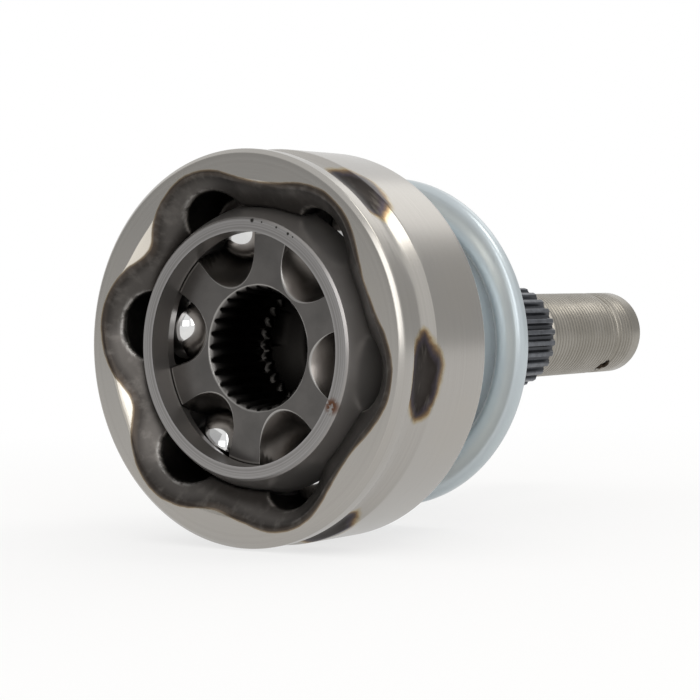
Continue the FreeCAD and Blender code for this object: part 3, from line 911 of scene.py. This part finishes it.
def threaded_end(finish):
    """The thread: a shallow V-shaped groove wound round the stub, running out at both ends, with a
    pinch, and a steep-walled recess at each mouth of the split pin hole."""
    start, end = RELIEF_END, STUB_END
    place, turn = thread_grid()
    blank = np.interp(place, [start, start + 0.7, end - THREAD_BEVEL, end],
                      [RELIEF_RADIUS, THREAD_RADIUS, THREAD_RADIUS, THREAD_RADIUS - THREAD_BEVEL])
    pinch = PINCH_DEPTH * np.exp(-((place - PIN_PLACE - 0.8) / PINCH_WIDTH) ** 2)
    phase = (place / THREAD_PITCH - turn / (2.0 * math.pi)) % 1.0
    run_out = np.interp(place, [start + 1.0, start + 3.0, end - 8.0, end - 4.0], [0.3, 1.0, 1.0, 0.0])
    groove = THREAD_DEPTH * run_out * np.clip(1.0 - np.abs(phase - 0.5) / THREAD_HALF_WIDTH, 0.0, 1.0)
    radius = np.minimum(blank, THREAD_RADIUS - groove) - pinch
    from_hole = np.hypot(place - PIN_PLACE, THREAD_RADIUS * np.sin(turn - PIN_ANGLE))
    drilled = np.clip((PIN_RADIUS - from_hole) / PIN_WALL, 0.0, 1.0)
    # Painted shade over the pin hole and a little round it.
    painted_hole_shade = np.clip((PIN_RADIUS + 0.35 - from_hole) / PIN_WALL, 0.0, 1.0)
    first = turned(np.array([(0.0, start - 1.0), (RELIEF_RADIUS, start - 1.0)]), turn)
    last = turned(stub_face(), turn)
    points = np.concatenate([first, round_axis(radius - PIN_RECESS * drilled, place, turn), last])
    ends = ((len(first), len(last)), (0, 0))
    # The thread's valleys and the pin hole get painted shade.
    marks = {"hole": np.pad(painted_hole_shade, ends), "turns": np.pad(groove / THREAD_DEPTH, ends)}
    return skin("threaded_end", points, finish, "housing", marks=marks, stands_for=["outer_race"])


# ---------------------------------------------------------------- the shield and balls

def shield_middle():
    """Middle line of the shield's sheet: a collar, a tight bend, the curve of a shallow bead and a
    rounded lip that turns back."""
    collar = rounded([
        (SHIELD_COLLAR, SHIELD_COLLAR_FRONT, 0.0),
        (SHIELD_COLLAR, SHIELD_REAR - 0.45, 0.55),
        (*SHIELD_BEND, 0.0)], 6)
    t = np.linspace(0.0, 1.0, 15)[:, None]
    bend, bead, crown, lip = np.array([SHIELD_BEND, SHIELD_BEAD, SHIELD_CROWN, SHIELD_LIP])
    rim = np.array([SHIELD_RIM, SHIELD_REAR - 0.9])
    bead_line = curve(bend, bead, crown, t)
    lip_line = curve(crown, lip, rim, t)
    return finer(np.vstack([collar[:-1], bead_line, lip_line[1:], [[SHIELD_RIM, SHIELD_REAR]]]), 0.8)


def dust_shield(finish):
    """A pressed sheet ring: a skin half the sheet's thickness to each side of its middle line, with
    rounded edges."""
    half = SHIELD_SHEET / 2
    middle = shield_middle()
    along = unit(np.gradient(middle, axis=0))
    out = np.stack([along[:, 1], -along[:, 0]], axis=-1) * half
    t = np.linspace(0.0, math.pi, 5)[1:-1, None]
    first_cap = middle[0] - out[0] * np.cos(t) - along[0] * half * np.sin(t)
    last_cap = middle[-1] + out[-1] * np.cos(t) + along[-1] * 0.8 * half * np.sin(t)
    outline = np.vstack([middle + out, last_cap, (middle - out)[::-1], first_cap])
    radius = outline[:, :1]
    # Painted shade on the collar and lip, and a painted highlight along the bend.
    marks = {
        "collar": np.clip((COLLAR_SHADE_EDGE - radius) / COLLAR_SHADE_FADE, 0.0, 1.0),
        "bend": np.exp(-((radius - BEND_GLEAM) / BEND_GLEAM_WIDTH) ** 2),
        "lip": np.clip((radius - LIP_SHADE_START) / LIP_SHADE_FADE, 0.0, 1.0)}
    return skin("dust_shield_sheet", turned(outline, angles(240)[None, :]), finish, "housing", ring=True,
                marks=marks, stands_for=["dust_shield"])


def ball(index, finish):
    """A sphere as rings of latitude about the joint's axis direction."""
    node = "ball_%d" % (index + 1)
    low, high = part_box(node)
    centre = np.array((low + high) / 2) / MM
    radius = (high - low).y / 2 / MM
    tilt = np.linspace(-math.pi / 2, math.pi / 2, 49)[:, None]
    points = round_axis(radius * np.cos(tilt), radius * np.sin(tilt), angles(96)[None, :]) + centre
    return skin("bearing_" + node, points, finish, node, stands_for=[node])


def dress(node, finish):
    """Give a CAD node its finish."""
    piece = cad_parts[node]
    piece.data.materials.clear()
    piece.data.materials.append(finish)


# ---------------------------------------------------------------- the studio

def softbox(name, direction, distance, size, brightness, colour=WHITE):
    """A rectangular soft light that faces the joint. Brightness 1 looks white in a mirror."""
    light = bpy.data.lights.new(name, "AREA")
    light.shape = "RECTANGLE"
    light.size, light.size_y = size
    light.energy = math.pi * size[0] * size[1] * brightness
    light.color = colour
    lamp = stand(name, light)
    towards = Vector(direction).normalized()
    lamp.location = towards * distance
    lamp.rotation_mode = "QUATERNION"
    lamp.rotation_quaternion = (-towards).to_track_quat("-Z", "Y")


def plain_sheet(name, corners, material):
    """A flat four-cornered sheet that belongs to the studio and not to the joint."""
    mesh = bpy.data.meshes.new(name)
    mesh.from_pydata(corners, [], [(0, 1, 2, 3)])
    mesh.materials.append(material)
    sheet = stand(name, mesh)
    return sheet


def grey_card(name, azimuth, elevation, distance, size, brightness):
    """A grey card that only the metal's reflections show, to give them something darker than the room.
    Azimuth is counted from +Y towards +X and elevation from the floor, in degrees."""
    around, up = math.radians(azimuth), math.radians(elevation)
    towards = np.array([math.sin(around) * math.cos(up), math.cos(around) * math.cos(up), math.sin(up)])
    right = np.array([math.cos(around), -math.sin(around), 0.0])
    above = np.cross(right, towards)
    half = (np.array([[-1, -1], [1, -1], [1, 1], [-1, 1]]) * size) / 2
    corners = towards * distance + half[:, :1] * right + half[:, 1:] * above
    paint = Shader(name, metallic=0.0)
    paint.set("Base Color", (0.0, 0.0, 0.0, 1.0))
    paint.set("Emission Color", (*WHITE, 1.0))
    paint.set("Emission Strength", brightness)
    paint.set("Specular IOR Level", 0.0)
    card = plain_sheet(name, corners.tolist(), paint.material)
    card.visible_camera = False
    card.visible_diffuse = False
    card.visible_shadow = False


def studio_world():
    """White to the camera, in reflections and through glass. To other rays a pale table under a room
    that is a little greyer."""
    world = bpy.data.worlds.new("studio")
    bpy.context.scene.world = world
    world.use_nodes = True
    s = Nodes(world.node_tree)
    background = s.tree.nodes["Background"]
    height = s.add("ShaderNodeMapRange")
    s.feed(height.inputs["Value"], s.apart(s.add("ShaderNodeTexCoord").outputs["Generated"])["Z"])
    height.inputs["From Min"].default_value = -1.0
    room = [(at, [grey * tint for tint in ROOM_TINT]) for at, grey in ROOM_GREYS]
    colour = s.blend(s.white_rays(), s.ramp(height.outputs[0], room), WHITE)
    s.feed(background.inputs["Color"], colour)
    background.inputs["Strength"].default_value = 1.0


def studio_floor():
    """A pale floor that keeps a faint shadow round the joint but shows white to the camera and in
    reflections."""
    s = Shader("pale_floor", metallic=0.0)
    s.set("Base Color", (*FLOOR_GREY, 1.0))
    s.set("Roughness", 0.9)
    clear = s.between(s.length(s.place()), 0.10, 0.45, 0.70, 1.0)
    mix = s.add("ShaderNodeMixShader")
    s.feed(mix.inputs[0], s.maths("MULTIPLY", s.white_rays(), clear))
    s.feed(mix.inputs[1], s.surface.outputs[0])
    s.feed(mix.inputs[2], s.add("ShaderNodeEmission").outputs[0])
    s.feed(s.tree.nodes["Material Output"].inputs["Surface"], mix.outputs[0])
    low, high, lowest = -FLOOR_HALF, FLOOR_HALF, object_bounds()[0].z
    corners = [(low, low, lowest), (high, low, lowest), (high, high, lowest), (low, high, lowest)]
    plain_sheet("floor", corners, s.material)


def camera():
    """Three-quarter view into the mouth, nearly level with the axis."""
    azimuth, elevation = math.radians(CAMERA_AZIMUTH), math.radians(CAMERA_ELEVATION)
    back = Vector((math.sin(azimuth) * math.cos(elevation), -math.cos(azimuth) * math.cos(elevation),
                   math.sin(elevation)))
    made = bpy.data.cameras.new("camera")
    made.lens = CAMERA_LENS
    made.sensor_width = CAMERA_SENSOR
    made.clip_start = 0.01
    holder = stand("camera", made)
    holder.location = Vector(CAMERA_AIM) * MM + back * CAMERA_DISTANCE * MM
    holder.rotation_mode = "QUATERNION"
    roll = Matrix.Rotation(math.radians(CAMERA_ROLL), 4, back).to_quaternion()
    holder.rotation_quaternion = roll @ (-back).to_track_quat("-Z", "Y")
    bpy.context.scene.camera = holder


def lights():
    """Two grey cards that the metal reflects, and four soft lights."""
    grey_card("right_card", azimuth=30.0, elevation=14.0, distance=1.8, size=(2.0, 1.0), brightness=0.60)
    grey_card("left_card", azimuth=205.0, elevation=25.0, distance=1.8, size=(3.0, 1.8), brightness=0.54)
    softbox("back_softbox", direction=(0.0, 0.81, 0.64), distance=1.4, size=(0.62, 0.42),
            brightness=0.70, colour=WARM_WHITE)
    softbox("top_softbox", direction=(0.50, 0.15, 0.85), distance=1.2, size=(0.5, 0.5),
            brightness=3.2, colour=(1.0, 0.98, 0.93))
    softbox("side_softbox", direction=(0.70, -0.56, 0.40), distance=1.3, size=(0.35, 1.1), brightness=2.6)
    softbox("front_softbox", direction=(0.42, -0.88, 0.10), distance=1.3, size=(0.5, 0.5), brightness=1.2)


bell(bell_finish())
splined_stub(spline_finish())
threaded_end(thread_finish())
dust_shield(shield_finish())
polish = ball_finish()
for number in range(TRACK_COUNT):
    ball(number, polish)
dress("ball_cage", cage_finish())
inner_race(race_finish())

camera()
studio_world()
studio_floor()
lights()
bpy.context.scene.view_settings.view_transform = "Standard"
